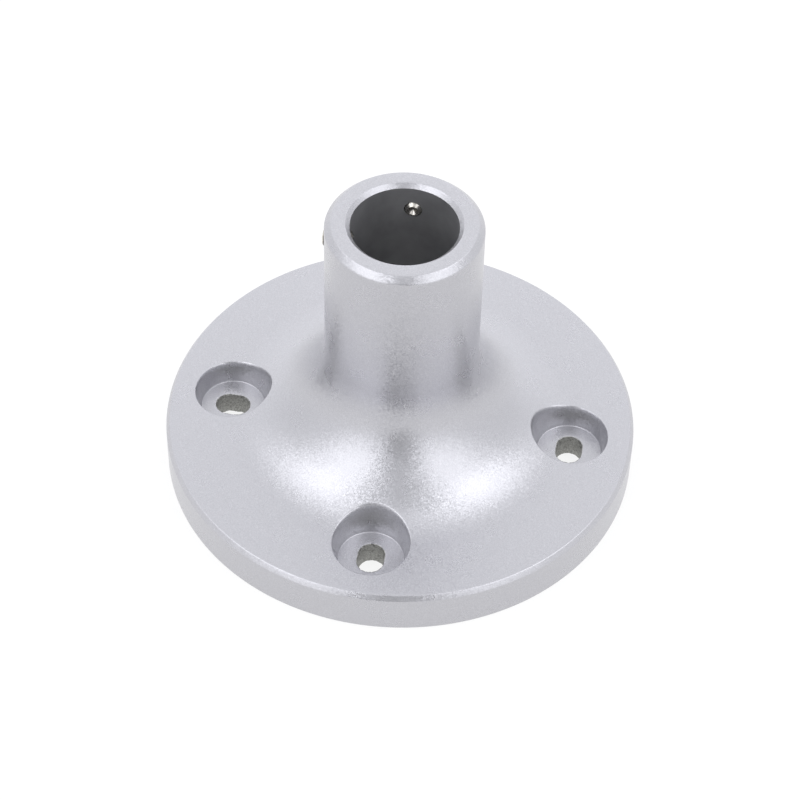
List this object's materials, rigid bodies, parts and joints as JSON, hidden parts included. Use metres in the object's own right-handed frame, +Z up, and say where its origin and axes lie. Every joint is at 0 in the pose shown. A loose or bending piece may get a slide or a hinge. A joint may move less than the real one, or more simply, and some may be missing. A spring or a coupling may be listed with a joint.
{
  "type": "pole mounting base",
  "caption": "Round cast flange base with an upright socket that clamps a tubular pole with radial set screws, with recessed slotted holes for fixing screws.",
  "frame": {"origin": "centre of the mounting face, on the axis of the socket", "axes": "+Z up along the pole, +Y towards the rear set screw, -X towards the left set screw"},
  "size_m": [0.1, 0.1, 0.066],
  "materials": {
    "silver_casting": "satin silver coating with a fine sparkle on a die casting",
    "set_screw_steel": "bright nickel plated steel"
  },
  "bodies": {
    "base": {"base_casting": "silver_casting"},
    "rear_screw": {"set_screw_rear": "set_screw_steel"},
    "left_screw": {"set_screw_left": "set_screw_steel"}
  },
  "joints": [
    {"name": "rear_screw_travel", "type": "slide", "parent": "base", "child": "rear_screw", "axis": [0, 1, 0], "range_m": [-0.002, 0.0035]},
    {"name": "left_screw_travel", "type": "slide", "parent": "base", "child": "left_screw", "axis": [-1, 0, 0], "range_m": [-0.002, 0.0035]}
  ]
}
